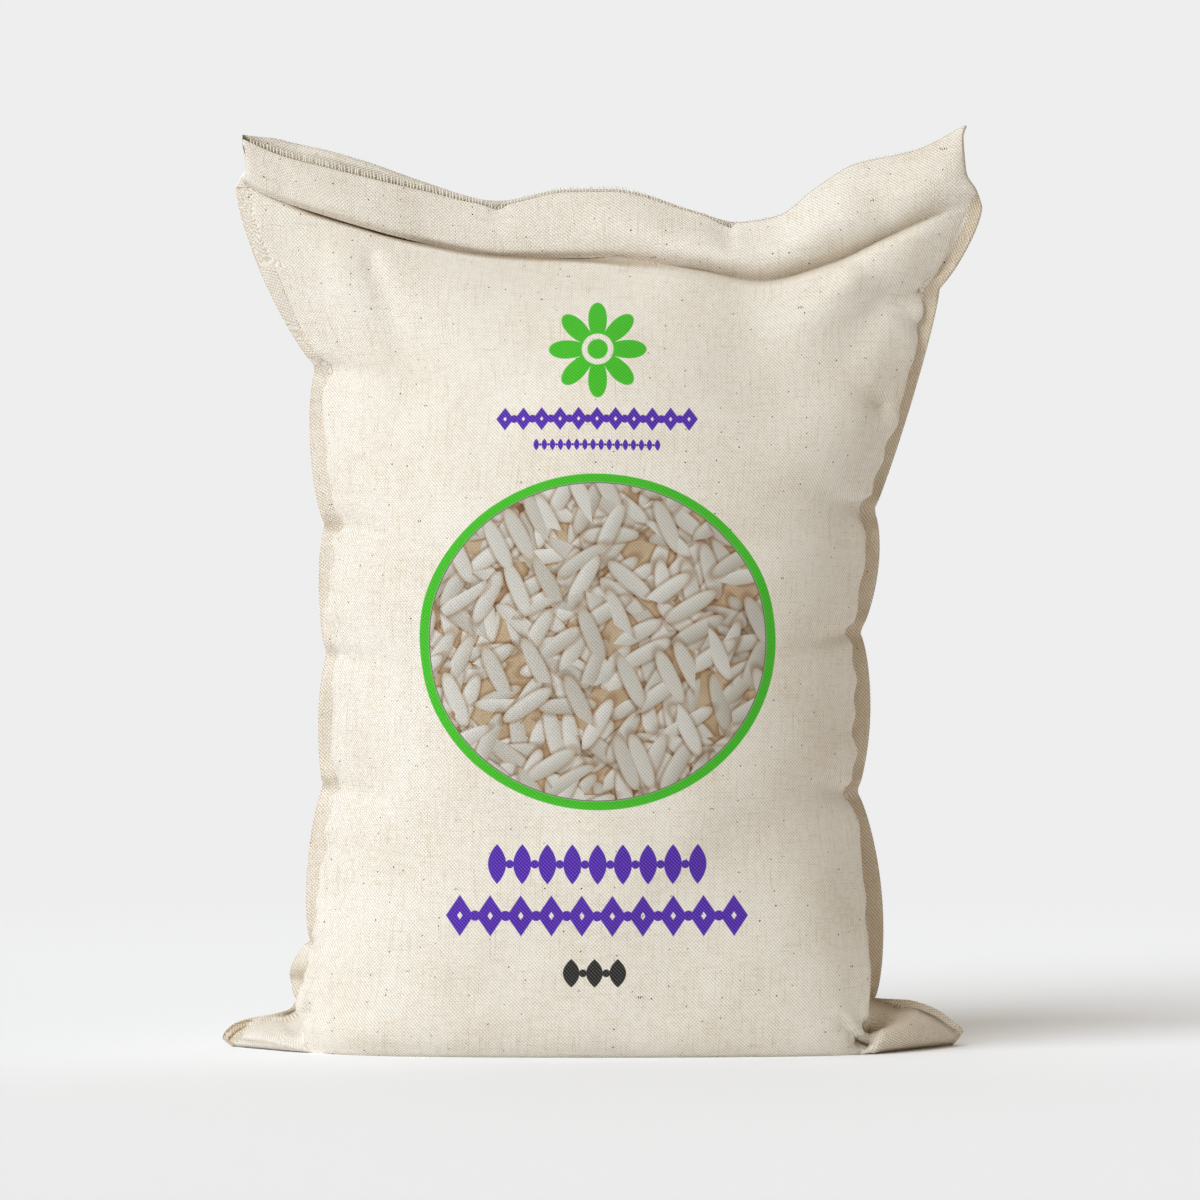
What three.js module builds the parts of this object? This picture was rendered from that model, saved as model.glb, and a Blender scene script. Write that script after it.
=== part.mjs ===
// A filled sack of rice that stands on its base.
// The cloth of the front and of the back are two panels, sewn along both sides and under the base,
// and closed at the top by a flat band. Sizes are in millimetres, +Z is up and the front faces -Y.
import * as THREE from 'three';

// Mesh fineness
const COLUMNS = 34;
const EAR_COLUMNS = 3;
const UNDER_ROWS = 5;
const BODY_ROWS = 32;
const BAND_ROWS = 7;

// Cloth and seams
const CLOTH_HALF = 0.6;
const FLANGE_WAVE = 1.7;
const FLANGE_WAVE_LENGTH = 78;
const SEAM_LEVEL_LEFT = 18.8;
const SEAM_LEVEL_RIGHT = 19.6;

// Tucks along each side seam, from the floor up: height, x of the flange's edge, x of the seam,
// and how far the edge and the seam bow outward before the next tuck.
const LEFT_TUCKS = [
  [18.8, -122.0, -118.0, 4.4, 2.4],
  [42.8, -116.6, -113.4, 3.6, 1.8],
  [104.8, -111.4, -106.8, 2.6, 1.6],
  [158.0, -110.0, -105.4, 3.0, 2.2],
  [208.8, -110.6, -106.0, 4.2, 2.8],
  [272.0, -114.4, -111.4, 5.8, 5.4],
  [345.8, -146.0, -140.5, 0.0, 0.0],
];
const RIGHT_TUCKS = [
  [19.6, 109.2, 106.4, 6.4, 3.4],
  [102.4, 102.0, 98.8, 4.8, 2.6],
  [166.4, 103.2, 99.6, 4.6, 2.6],
  [214.8, 108.8, 105.4, 2.6, 0.8],
  [303.6, 135.2, 131.2, 2.8, 2.2],
  [336.0, 152.0, 146.5, 0.0, 0.0],
];

// Rims of the two bottom corners that lie out on the floor: share of the way up, x, height
const LEFT_RIM = [
  [0.0, -151.8, 0.0],
  [0.12, -151.4, 4.4],
  [0.3, -148.0, 8.6],
  [0.5, -142.0, 11.8],
  [0.72, -132.0, 13.8],
  [0.88, -125.5, 15.2],
  [1.0, -122.0, 18.8],
];
const RIGHT_RIM = [
  [0.0, 141.0, 0.0],
  [0.12, 145.2, 5.6],
  [0.3, 140.2, 10.4],
  [0.5, 133.6, 15.2],
  [0.72, 122.0, 18.8],
  [0.88, 114.8, 19.2],
  [1.0, 109.2, 19.6],
];
const EAR_INSET = 4;
const EAR_DROP = 0.3;
const EAR_BELLY = 5;
const RIGHT_EAR_BEND = 8;

// Half depth of the filling against height, under a band whose fold is at 315
const FILL_DEPTH = [
  [0, 54],
  [6, 59],
  [14, 61.5],
  [40, 65],
  [85, 68.5],
  [130, 69],
  [170, 67],
  [205, 62],
  [240, 53.5],
  [268, 44],
  [290, 33.5],
  [304, 23],
  [318, 10.5],
];
const FILL_TOP = 318;
const BASE_SQUARENESS_LEFT = 0.22;
const BASE_SQUARENESS_RIGHT = 0.13;
const WALL_ROUNDNESS = 0.44;
const TOP_FLATTENING = 0.8;
const BACK_SCALE = 0.985;

// How far the cloth rolls out past the side seams against height
const LEFT_ROLL = [
  [0, 4.0],
  [30, 4.2],
  [60, 1.5],
  [130, 1.2],
  [172, 3.4],
  [205, 1.0],
  [346, 0.0],
];
const RIGHT_ROLL = [
  [0, 2.4],
  [40, 1.0],
  [150, 1.0],
  [250, 0.6],
  [346, 0.0],
];
const ROLL_PLACE = 0.86;
const ROLL_WIDTH = 0.07;

// The closed band at the top: its lower fold and its stitched edge against x
const FOLD_LINE = [
  [-146, 346],
  [-128, 338],
  [-103.6, 330],
  [-71.2, 321.2],
  [-38.4, 315.6],
  [-1.6, 314.8],
  [39.2, 308.8],
  [63.2, 304.6],
  [91.2, 311.6],
  [115.2, 322.8],
  [140, 333.5],
  [152, 336],
];
const STITCH_LINE = [
  [-146, 364],
  [-127.6, 356],
  [-107.6, 350.8],
  [-74, 342.8],
  [-42, 336.6],
  [-14, 341.8],
  [4, 342.0],
  [38, 333.2],
  [54, 329.4],
  [70, 331.8],
  [86, 343.4],
  [101, 352.4],
  [125.2, 358],
  [145.8, 368.4],
];
const BAND_LEFT = [
  [0, -146],
  [0.35, -142.4],
  [1, -143.6],
];
const BAND_RIGHT = [
  [0, 152],
  [0.2, 149.6],
  [0.4, 146],
  [0.6, 145.2],
  [0.9, 144.6],
  [1, 145.8],
];
const BAND_END = 2.6;
const BAND_END_HALF = 2.2;
const LIP_OUT = 4.2;
const LIP_DROP = 2.6;
const BAND_TOP_HALF = 2.0;
const BAND_BELLY = 1.5;
const BACK_RISE = 1.2;
const BACK_RISE_PEAK = 7.0;
const BACK_RISE_X = -108;
const BACK_RISE_WIDTH = 30;
const BAND_SWAY = 2.5;

/** Reads a smooth curve through [place, value] knots. */
function through(knots, at, column = 1) {
  const last = knots.length - 1;
  if (at <= knots[0][0]) {
    return knots[0][column];
  }
  if (at >= knots[last][0]) {
    return knots[last][column];
  }
  let k = 0;
  while (knots[k + 1][0] < at) {
    k += 1;
  }
  const rise = (i) => (knots[i + 1][column] - knots[i][column]) / (knots[i + 1][0] - knots[i][0]);
  const slope = (i) => {
    if (i === 0 || i === last) {
      return rise(k);
    }
    const product = rise(i - 1) * rise(i);
    return product <= 0 ? 0 : (2 * product) / (rise(i - 1) + rise(i));
  };
  const span = knots[k + 1][0] - knots[k][0];
  const v = (at - knots[k][0]) / span;
  const v2 = v * v;
  const v3 = v2 * v;
  return (
    (2 * v3 - 3 * v2 + 1) * knots[k][column] +
    (v3 - 2 * v2 + v) * span * slope(k) +
    (3 * v2 - 2 * v3) * knots[k + 1][column] +
    (v3 - v2) * span * slope(k + 1)
  );
}

/** Eased step from 0 at the first place to 1 at the second. */
function eased(from, to, at) {
  const v = Math.min(1, Math.max(0, (at - from) / (to - from)));
  return v * v * (3 - 2 * v);
}

function mix(a, b, share) {
  return a + (b - a) * share;
}

/** Flange edge and seam x of one side at a height, bowed outward between its tucks. */
function sideSeam(tucks, side, z) {
  let k = 0;
  while (k + 2 < tucks.length && tucks[k + 1][0] < z) {
    k += 1;
  }
  const [z0, edge0, seam0, edgeBow, seamBow] = tucks[k];
  const [z1, edge1, seam1] = tucks[k + 1];
  const v = Math.min(1, Math.max(0, (z - z0) / (z1 - z0)));
  const bow = side * (4 * v * (1 - v)) ** 0.75;
  return { edge: mix(edge0, edge1, v) + edgeBow * bow, seam: mix(seam0, seam1, v) + seamBow * bow };
}

/** 1 where the band stands proud of the cloth under it, falling to 0 towards the right. */
function lip(x) {
  return 1 - eased(-20, 40, x);
}

function bandSway(x) {
  return BAND_SWAY * Math.sin((x + 60) / 38) - 1;
}

function flangeWave(z) {
  const fade = eased(24, 60, z) * (1 - eased(300, 335, z));
  return FLANGE_WAVE * fade * Math.sin((2 * Math.PI * z) / FLANGE_WAVE_LENGTH);
}

/** Heights of a body row where it meets the two side seams. */
function rowEnds(t) {
  return {
    left: mix(SEAM_LEVEL_LEFT, through(FOLD_LINE, -140), t),
    right: mix(SEAM_LEVEL_RIGHT, through(FOLD_LINE, 146), t),
  };
}

/** Body point: u runs from seam to seam, t from the floor edge to the band, face is -1 for the front. */
function bodyPoint(u, t, face) {
  const ends = rowEnds(t);
  const left = sideSeam(LEFT_TUCKS, -1, ends.left).seam;
  const right = sideSeam(RIGHT_TUCKS, 1, ends.right).seam;
  const s = Math.sin(0.5 * Math.PI * u);
  let x = mix(left, right, 0.5 * (1 + s));
  const ear = (2 * EAR_COLUMNS) / COLUMNS;
  const steep =
    SEAM_LEVEL_LEFT * Math.max(0, 1 - (1 + u) / ear) + SEAM_LEVEL_RIGHT * Math.max(0, 1 - (1 - u) / ear);
  const gentle =
    SEAM_LEVEL_LEFT * eased(0.4, -1, u) ** 2 + SEAM_LEVEL_RIGHT * eased(-0.4, 1, u) ** 2;
  const foldLevel = through(FOLD_LINE, x);
  const z = mix(mix(steep, gentle, eased(0, 0.25, t)), foldLevel + LIP_DROP * lip(x), t);
  const depth = through(FILL_DEPTH, (z * FILL_TOP) / (foldLevel + 3)) * (face < 0 ? 1 : BACK_SCALE);
  const base = mix(BASE_SQUARENESS_LEFT, BASE_SQUARENESS_RIGHT, eased(-1, 1, u));
  const power = mix(base, WALL_ROUNDNESS, eased(0, 0.3, t)) + TOP_FLATTENING * eased(0.55, 1, t);
  const swell = Math.max(0, 1 - s * s) ** power;
  const roll = Math.exp(-(((Math.abs(u) - ROLL_PLACE) / ROLL_WIDTH) ** 2));
  x += u < 0 ? -roll * through(LEFT_ROLL, z) : roll * through(RIGHT_ROLL, z);
  const sway = bandSway(x) * eased(0.82, 1, t);
  const seamWave = 0.5 * flangeWave(z) * Math.abs(u) ** 12;
  return [x, face * (CLOTH_HALF + depth * swell) + sway + seamWave, z];
}

/** How far an ear swings back towards its tip. */
function earBend(side, r) {
  return side > 0 ? RIGHT_EAR_BEND * (1 - r) ** 1.5 : 0;
}

/** Point under the sack or on an ear: r runs from the bottom seam to the floor edge. */
function underPoint(u, r, face) {
  const ear = (2 * EAR_COLUMNS) / COLUMNS;
  const own = bodyPoint(u, 0, face);
  if (Math.abs(u) <= 1 - ear + 1e-9) {
    return [own[0], own[1] * r, 0];
  }
  const side = Math.sign(u);
  const rim = u < 0 ? LEFT_RIM : RIGHT_RIM;
  const foot = bodyPoint(side * (1 - ear), 0, face);
  const top = bodyPoint(side, 0, face);
  const share = (1 - Math.abs(u)) / ear;
  const settle = eased(0.8, 1, r);
  const rimX = mix(through(rim, r, 1) - side * EAR_INSET, top[0], settle);
  const rimZ = mix(through(rim, r, 2) * (1 - EAR_DROP * Math.sqrt(1 - r)), top[2], settle);
  const half = face * CLOTH_HALF * Math.min(1, 3 * r) + earBend(side, r);
  const flat = [mix(rimX, foot[0], share), mix(half, foot[1] * r, share), mix(rimZ, 0, share)];
  const line = [mix(top[0], foot[0], share), mix(top[1], foot[1], share), mix(top[2], 0, share)];
  flat[1] += face * EAR_BELLY * Math.sin(Math.PI * r) * Math.sin(Math.PI * share);
  return flat.map((value, axis) => value + r * (own[axis] - line[axis]));
}

/** Point of the band: h runs from its lower fold to the stitched edge. */
function bandPoint(u, h, face) {
  const s = Math.sin(0.5 * Math.PI * u);
  const inset = BAND_END * eased(0, 0.15, h);
  const left = mix(through(BAND_LEFT, h), sideSeam(LEFT_TUCKS, -1, 400).seam, 1 - eased(0, 0.15, h)) + inset;
  const right = mix(through(BAND_RIGHT, h), sideSeam(RIGHT_TUCKS, 1, 400).seam, 1 - eased(0, 0.15, h)) - inset;
  const x = mix(left, right, 0.5 * (1 + s));
  const proud = face < 0 ? lip(x) : 0.3 * lip(x);
  const rise = face < 0 ? 0 : BACK_RISE + BACK_RISE_PEAK * Math.exp(-(((x - BACK_RISE_X) / BACK_RISE_WIDTH) ** 2));
  const low = through(FOLD_LINE, x) + 1.4 * (1 - proud);
  const z = mix(low, through(STITCH_LINE, x) + rise, h);
  const root = bodyPoint(u, 1, -1);
  const bottom = Math.abs(root[1] - bandSway(root[0])) + 0.8 + LIP_OUT * proud * Math.sqrt(Math.max(0, 1 - s ** 8));
  const top = face < 0 ? BAND_TOP_HALF : 0.8;
  const end = (BAND_END_HALF - CLOTH_HALF) * eased(0, 0.2, h) * Math.abs(s) ** 20;
  const y = mix(bottom, top, h) + BAND_BELLY * Math.sin(Math.PI * h) + end;
  return [x, face * y + bandSway(x), z];
}

/** Flange column: the seam point carried out to the free edge of the cloth. */
function flangePoint(section, v, side, share, face) {
  const seamPoint = section(side, v, face);
  let edge;
  if (section === underPoint) {
    const rim = side < 0 ? LEFT_RIM : RIGHT_RIM;
    const edgeY = face * CLOTH_HALF * Math.min(1, 3 * v) + 1.15 * earBend(side, v);
    edge = [through(rim, v, 1), edgeY, through(rim, v, 2)];
  } else if (section === bodyPoint) {
    const ends = rowEnds(v);
    const z = side < 0 ? ends.left : ends.right;
    const tucks = side < 0 ? LEFT_TUCKS : RIGHT_TUCKS;
    edge = [sideSeam(tucks, side, z).edge, face * CLOTH_HALF + flangeWave(z + 14), seamPoint[2]];
    edge[1] += bandSway(side * 150) * eased(0.82, 1, v);
  } else {
    const outline = side < 0 ? BAND_LEFT : BAND_RIGHT;
    edge = [through(outline, v), face * CLOTH_HALF + bandSway(side * 150), seamPoint[2]];
  }
  return seamPoint.map((value, axis) => mix(value, edge[axis], share));
}

/** One whole row of a panel, from the left free edge to the right one. */
function panelRow(section, v, face) {
  const row = [flangePoint(section, v, -1, 1, face), flangePoint(section, v, -1, 0.5, face)];
  for (let column = 0; column <= COLUMNS; column += 1) {
    row.push(section((2 * column) / COLUMNS - 1, v, face));
  }
  row.push(flangePoint(section, v, 1, 0.5, face), flangePoint(section, v, 1, 1, face));
  return row;
}

/** All rows of a panel, from the seam under the base up to the stitched edge. */
function panel(face) {
  const rows = [];
  for (let i = 0; i < UNDER_ROWS; i += 1) {
    rows.push(panelRow(underPoint, i / UNDER_ROWS, face));
  }
  for (let i = 0; i <= BODY_ROWS; i += 1) {
    rows.push(panelRow(bodyPoint, (i / BODY_ROWS) ** 1.2, face));
  }
  for (let i = 0; i <= BAND_ROWS; i += 1) {
    rows.push(panelRow(bandPoint, i / BAND_ROWS, face));
  }
  return rows;
}

/** Sews the two panels into one closed skin; they share the row of the bottom seam. */
function sewnSack() {
  const positions = [];
  const faces = [];
  const place = (point) => positions.push(...point) / 3 - 1;
  const front = panel(-1).map((row) => row.map(place));
  const back = [front[0], ...panel(1).slice(1).map((row) => row.map(place))];
  const triangle = (a, b, c) => {
    if (a !== b && b !== c && c !== a) {
      faces.push(a, b, c);
    }
  };
  const quad = (a, b, c, d) => {
    triangle(a, b, c);
    triangle(a, c, d);
  };
  const top = front.length - 1;
  const width = front[0].length - 1;
  for (let i = 0; i < top; i += 1) {
    for (let j = 0; j < width; j += 1) {
      quad(front[i][j], front[i][j + 1], front[i + 1][j + 1], front[i + 1][j]);
      quad(back[i][j + 1], back[i][j], back[i + 1][j], back[i + 1][j + 1]);
    }
    quad(back[i][0], front[i][0], front[i + 1][0], back[i + 1][0]);
    quad(front[i][width], back[i][width], back[i + 1][width], front[i + 1][width]);
  }
  for (let j = 0; j < width; j += 1) {
    quad(front[top][j], front[top][j + 1], back[top][j + 1], back[top][j]);
  }
  const geometry = new THREE.BufferGeometry();
  geometry.setAttribute('position', new THREE.Float32BufferAttribute(positions, 3));
  geometry.setIndex(faces);
  geometry.computeBoundingBox();
  const { min, max } = geometry.boundingBox;
  geometry.translate(-(min.x + max.x) / 2, -(min.y + max.y) / 2, -min.z);
  geometry.computeVertexNormals();
  return geometry;
}

const cotton = new THREE.MeshStandardMaterial({ color: 0xe6ddd0, roughness: 0.92, metalness: 0 });
const bag = new THREE.Mesh(sewnSack(), cotton);
bag.name = 'bag';

const sack = new THREE.Group();
sack.name = 'sack';
sack.add(bag);

export default sack;
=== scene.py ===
"""A filled cotton sack of rice: the sewn cloth, its frayed closing edge, its print and the studio round it."""

import logging
import math
from dataclasses import dataclass, field
from enum import Enum
from typing import Callable, Sequence

import bmesh
import bpy
import numpy as np
from mathutils import Matrix, Vector


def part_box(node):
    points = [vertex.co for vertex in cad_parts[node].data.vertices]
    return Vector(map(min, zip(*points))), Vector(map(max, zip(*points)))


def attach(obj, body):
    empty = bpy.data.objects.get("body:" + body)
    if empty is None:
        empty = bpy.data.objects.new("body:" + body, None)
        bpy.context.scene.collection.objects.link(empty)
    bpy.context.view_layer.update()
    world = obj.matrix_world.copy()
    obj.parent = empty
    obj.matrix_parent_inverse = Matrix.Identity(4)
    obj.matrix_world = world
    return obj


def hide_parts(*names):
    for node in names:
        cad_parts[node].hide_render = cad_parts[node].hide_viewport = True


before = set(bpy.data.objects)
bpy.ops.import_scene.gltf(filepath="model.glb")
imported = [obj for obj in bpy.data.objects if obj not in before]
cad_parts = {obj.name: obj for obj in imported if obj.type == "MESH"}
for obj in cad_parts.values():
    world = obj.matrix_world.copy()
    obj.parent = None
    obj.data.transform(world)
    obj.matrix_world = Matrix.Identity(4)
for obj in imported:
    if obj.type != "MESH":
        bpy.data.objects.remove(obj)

Array = np.ndarray
Knots = Sequence[tuple[float, float]]
Colour = tuple[float, float, float]

MM = 0.001
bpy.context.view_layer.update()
log = logging.getLogger("sack")


class Face(Enum):
    """The two cloth panels of the sack."""

    FRONT = -1.0
    BACK = 1.0


class Side(Enum):
    """The two sewn sides of the sack, seen from the front."""

    LEFT = -1.0
    RIGHT = 1.0


def eased(start: float, end: float, at: Array) -> Array:
    """Steps softly from 0 to 1.

    Args:
        start: Place where the step begins.
        end: Place where it is done.
        at: Places to read.

    Returns:
        The step's height at each place.
    """
    share = np.clip((np.asarray(at, float) - start) / (end - start), 0.0, 1.0)
    return share * share * (3.0 - 2.0 * share)


def mix(first: Array, second: Array, share: Array) -> Array:
    """Blends two values by a share."""
    return first + (second - first) * share


def bell(off: Array, width: float) -> Array:
    """A soft bump, 1 where the offset is nought, that fades over a width."""
    return np.exp(-((off / width) ** 2))


class Curve:
    """A smooth curve through knots that doesn't swing past them."""

    def __init__(self, knots: Knots) -> None:
        """Works out the slope at every knot.

        Args:
            knots: Places and values, in rising order of place.
        """
        self.at = np.array([knot[0] for knot in knots], float)
        self.value = np.array([knot[1] for knot in knots], float)
        rise = np.diff(self.value) / np.diff(self.at)
        inner = rise[:-1] * rise[1:]
        total = rise[:-1] + rise[1:]
        middle = np.where(inner > 0, 2 * inner / np.where(np.abs(total) < 1e-12, 1.0, total), 0.0)
        self.slope = np.concatenate([rise[:1], middle, rise[-1:]])

    def __call__(self, at: Array) -> Array:
        """Reads the curve.

        Args:
            at: Places to read, held at the end values outside the knots.

        Returns:
            The values there.
        """
        place = np.clip(np.asarray(at, float), self.at[0], self.at[-1])
        k = np.clip(np.searchsorted(self.at, place, side="left") - 1, 0, len(self.at) - 2)
        span = self.at[k + 1] - self.at[k]
        v = (place - self.at[k]) / span
        return (
            (2 * v**3 - 3 * v**2 + 1) * self.value[k]
            + (v**3 - 2 * v**2 + v) * span * self.slope[k]
            + (3 * v**2 - 2 * v**3) * self.value[k + 1]
            + (v**3 - v**2) * span * self.slope[k + 1]
        )


@dataclass(frozen=True)
class Bump:
    """A soft rise: its height, its middle and how far it fades to each side, in millimetres."""

    height: float
    middle: float
    width: float

    def __call__(self, at: Array) -> Array:
        """Reads the rise."""
        return self.height * bell(at - self.middle, self.width)


@dataclass(frozen=True)
class Notch:
    """A small dip in the stitched edge, in millimetres, with its reach to the left and to the right."""

    place: float
    depth: float
    left: float
    right: float

    def __call__(self, x: Array) -> Array:
        """Reads how far the edge dips."""
        reach = np.where(x < self.place, self.left, self.right)
        return self.depth * np.maximum(0.0, 1.0 - np.abs(x - self.place) / reach)


@dataclass(frozen=True)
class Tuck:
    """A place where a side seam is drawn in, in millimetres.

    The edge and the seam bow outward above it, up to the next tuck.
    """

    height: float
    edge: float
    seam: float
    edge_bow: float
    seam_bow: float


@dataclass(frozen=True)
class SideSeam:
    """One sewn side of the sack with its free flange."""

    side: Side
    tucks: tuple[Tuck, ...]

    def read(self, height: Array) -> tuple[Array, Array]:
        """Finds the flange edge and the seam at each height.

        Args:
            height: Heights in millimetres.

        Returns:
            x of the free edge and x of the seam.
        """
        z = np.asarray(height, float)
        level = np.array([tuck.height for tuck in self.tucks])
        k = np.clip(np.searchsorted(level, z, side="left") - 1, 0, len(level) - 2)
        v = np.clip((z - level[k]) / (level[k + 1] - level[k]), 0.0, 1.0)
        bow = self.side.value * (4 * v * (1 - v)) ** 0.75

        sizes = np.array([(tuck.edge, tuck.seam, tuck.edge_bow, tuck.seam_bow) for tuck in self.tucks])
        edge, seam, edge_bow, seam_bow = sizes.T
        return (
            mix(edge[k], edge[k + 1], v) + edge_bow[k] * bow,
            mix(seam[k], seam[k + 1], v) + seam_bow[k] * bow,
        )


@dataclass(frozen=True)
class Crease:
    """A soft fold in the cloth, from one point of a panel to another, in millimetres.

    A depth below nought is a valley, above nought a ridge. The tail is the share of the depth
    that is left at the end, and the fold widens on its way there.
    """

    start: tuple[float, float]
    end: tuple[float, float]
    width: float
    depth: float
    tail: float = 0.0

    def lift(self, x: Array, z: Array) -> Array:
        """Finds how far the crease moves the cloth outward.

        Args:
            x: Places across the sack.
            z: Heights.

        Returns:
            Millimetres along the cloth's normal.
        """
        dx, dz = self.end[0] - self.start[0], self.end[1] - self.start[1]
        length = math.hypot(dx, dz)
        along = ((x - self.start[0]) * dx + (z - self.start[1]) * dz) / length
        across = ((x - self.start[0]) * dz - (z - self.start[1]) * dx) / length
        share = np.clip(along / length, 0.0, 1.0)
        before = bell(np.minimum(along, 0.0), 0.6 * self.width)
        beyond = bell(np.maximum(along - length, 0.0), self.width)
        spread = self.width * (0.6 + 0.8 * share)
        return self.depth * mix(1.0, self.tail, share**0.8) * before * beyond * bell(across, spread)


class Piece:
    """Turns a bmesh into a finished object that rides on the sack's body."""

    @staticmethod
    def finish(name: str, bm: bmesh.types.BMesh, material: bpy.types.Material) -> bpy.types.Object:
        """Makes the object, gives it its material and lets it ride.

        Args:
            name: The piece's name.
            bm: Its shape, in metres. It is freed.
            material: Its finish.

        Returns:
            The new object.
        """
        mesh = bpy.data.meshes.new(name)
        bm.to_mesh(mesh)
        bm.free()
        mesh.materials.append(material)
        mesh.polygons.foreach_set("use_smooth", [True] * len(mesh.polygons))
        piece = bpy.data.objects.new(name, mesh)
        bpy.context.scene.collection.objects.link(piece)
        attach(piece, "root")
        log.info("%s: %d faces", name, len(mesh.polygons))
        return piece


@dataclass
class SackShape:
    """The filled sack's surface as functions of named sizes, in millimetres.

    u runs from seam to seam, t up the body, r up from the bottom seam and h up the band.
    """

    seam_level: tuple[float, float] = (18.8, 19.6)
    cloth_half: float = 0.6
    ear_share: float = 6 / 34
    ear_inset: float = 2.2
    ear_drop: float = 0.3
    ear_belly: float = 4.5
    floor_share: float = 0.32
    right_ear_bend: float = 8.0
    fill_top: float = 318.0
    squareness: tuple[float, float] = (0.22, 0.13)
    wall_roundness: float = 0.44
    top_flattening: float = 0.8
    back_scale: float = 0.985
    roll_place: float = 0.87
    roll_width: float = 0.075
    gather: float = 1.25
    flange_wave: float = 1.8
    flange_wave_length: float = 78.0
    tuck_wave: float = 5.2
    tuck_wave_reach: float = 4.5
    shoulder_swell: tuple[float, float] = (4.2, 6.8)
    hollow_depth: tuple[Bump, Bump] = (Bump(2.6, -84.0, 30.0), Bump(1.8, -25.0, 34.0))
    hollow_gap: tuple[Bump, Bump] = (Bump(0.5, -92.0, 20.0), Bump(0.4, -30.0, 30.0))
    hollow_step: float = 5.5
    band_end: float = 0.9
    lip_out: float = 4.2
    lip_drop: float = 3.6
    band_top_half: float = 2.0
    band_belly: float = 1.5
    band_sway: float = 2.5
    band_undercut: float = 5.4
    band_sink: float = 6.4
    band_dent: float = 2.6
    mouth: Bump = Bump(6.5, -126.0, 15.0)
    notches: tuple[Notch, Notch] = (Notch(-41.2, 2.4, 7.0, 4.0), Notch(51.6, 2.2, 10.0, 2.2))
    seam_recess: float = 2.8
    slot_depth: float = 7.0
    layer: float = 0.9
    left: SideSeam = SideSeam(Side.LEFT, (
        Tuck(18.8, -122.0, -117.6, 0.6, 0.0),
        Tuck(28.0, -124.6, -121.0, 2.2, 0.6),
        Tuck(42.8, -116.6, -113.4, 3.6, 1.8),
        Tuck(104.8, -111.4, -106.8, 2.6, 1.6),
        Tuck(158.0, -110.0, -105.4, 3.0, 2.2),
        Tuck(208.8, -110.6, -106.0, 4.2, 2.8),
        Tuck(272.0, -114.4, -111.4, 5.8, 5.4),
        Tuck(345.8, -146.0, -140.5, 0.0, 0.0),
    ))
    right: SideSeam = SideSeam(Side.RIGHT, (
        Tuck(19.6, 109.2, 106.4, 6.4, 3.4),
        Tuck(102.4, 102.0, 98.8, 4.8, 2.6),
        Tuck(166.4, 103.2, 99.6, 4.6, 2.6),
        Tuck(214.8, 108.8, 105.4, 2.4, 2.8),
        Tuck(303.6, 135.2, 131.2, 2.8, 2.2),
        Tuck(336.0, 152.0, 146.5, 0.0, 0.0),
    ))
    rim_x: tuple[Curve, Curve] = (
        Curve((
            (0, -147.4), (0.12, -151.8), (0.3, -148.4), (0.5, -141.4), (0.72, -131.0), (0.88, -125.0),
            (1, -122.0))),
        Curve(((0, 141.0), (0.12, 145.2), (0.3, 140.2), (0.5, 133.6), (0.72, 122.0), (0.88, 114.8), (1, 109.2))),
    )
    rim_z: tuple[Curve, Curve] = (
        Curve(((0, 0), (0.12, 3.6), (0.3, 8.6), (0.5, 11.4), (0.72, 13.4), (0.88, 15.2), (1, 18.8))),
        Curve(((0, 0), (0.12, 5.6), (0.3, 10.4), (0.5, 15.2), (0.72, 18.8), (0.88, 19.2), (1, 19.6))),
    )
    fill_depth: Curve = Curve((
        (0, 54), (6, 59), (14, 61.5), (40, 65), (85, 68.5), (130, 69), (170, 67), (205, 62), (240, 53.5), (268, 44),
        (290, 33.5), (304, 23), (318, 10.5)))
    roll: tuple[Curve, Curve] = (
        Curve(((0, 4.0), (30, 4.2), (60, 1.5), (130, 1.2), (172, 3.4), (205, 1.0), (346, 0.0))),
        Curve(((0, 2.4), (40, 1.0), (150, 1.0), (250, 0.6), (346, 0.0))),
    )
    fold_line: Curve = Curve((
        (-146, 346), (-128, 338), (-103.6, 330), (-71.2, 321.2), (-38.4, 315.6), (-1.6, 314.8), (39.2, 308.8),
        (63.2, 304.6), (91.2, 311.6), (115.2, 322.8), (140, 333.5), (152, 336)))
    stitch_line: Curve = Curve((
        (-146, 364), (-127.6, 356), (-107.6, 350.8), (-74, 342.8), (-42, 336.6), (-14, 341.8), (4, 342.0),
        (38, 333.2), (54, 329.4), (70, 331.8), (86, 343.4), (101, 352.4), (125.2, 358), (145.8, 368.4)))
    band_ends: tuple[Curve, Curve] = (
        Curve(((0, -146), (0.35, -142.4), (1, -143.6))),
        Curve(((0, 152), (0.2, 149.6), (0.4, 146), (0.6, 145.2), (0.9, 144.6), (1, 145.8))),
    )
    back_rise: Curve = Curve((
        (-146, 0.8), (-138, 3.8), (-128, 6.8), (-113, 7.2), (-94, 6.4), (-70, 3.6), (-44, 1.8), (0, 1.2),
        (20, 1.2), (60, 0.3), (146, 0.3)))
    solid_corner: tuple[float, float] = (-151.8, -69.6)
    centring: tuple[float, float] = field(init=False)

    def __post_init__(self) -> None:
        """Finds the shift that puts the sack in the middle of its box, as in the solid."""
        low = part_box("bag")[0]
        self.centring = (low.x / MM - self.solid_corner[0], low.y / MM - self.solid_corner[1])

    def lip(self, x: Array) -> Array:
        """Share by which the band stands proud of the cloth under it."""
        return 1.0 - eased(-20.0, 40.0, x)

    def sway(self, x: Array) -> Array:
        """Plan line of the band."""
        return self.band_sway * np.sin((x + 60.0) / 38.0) - 1.0

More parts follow.
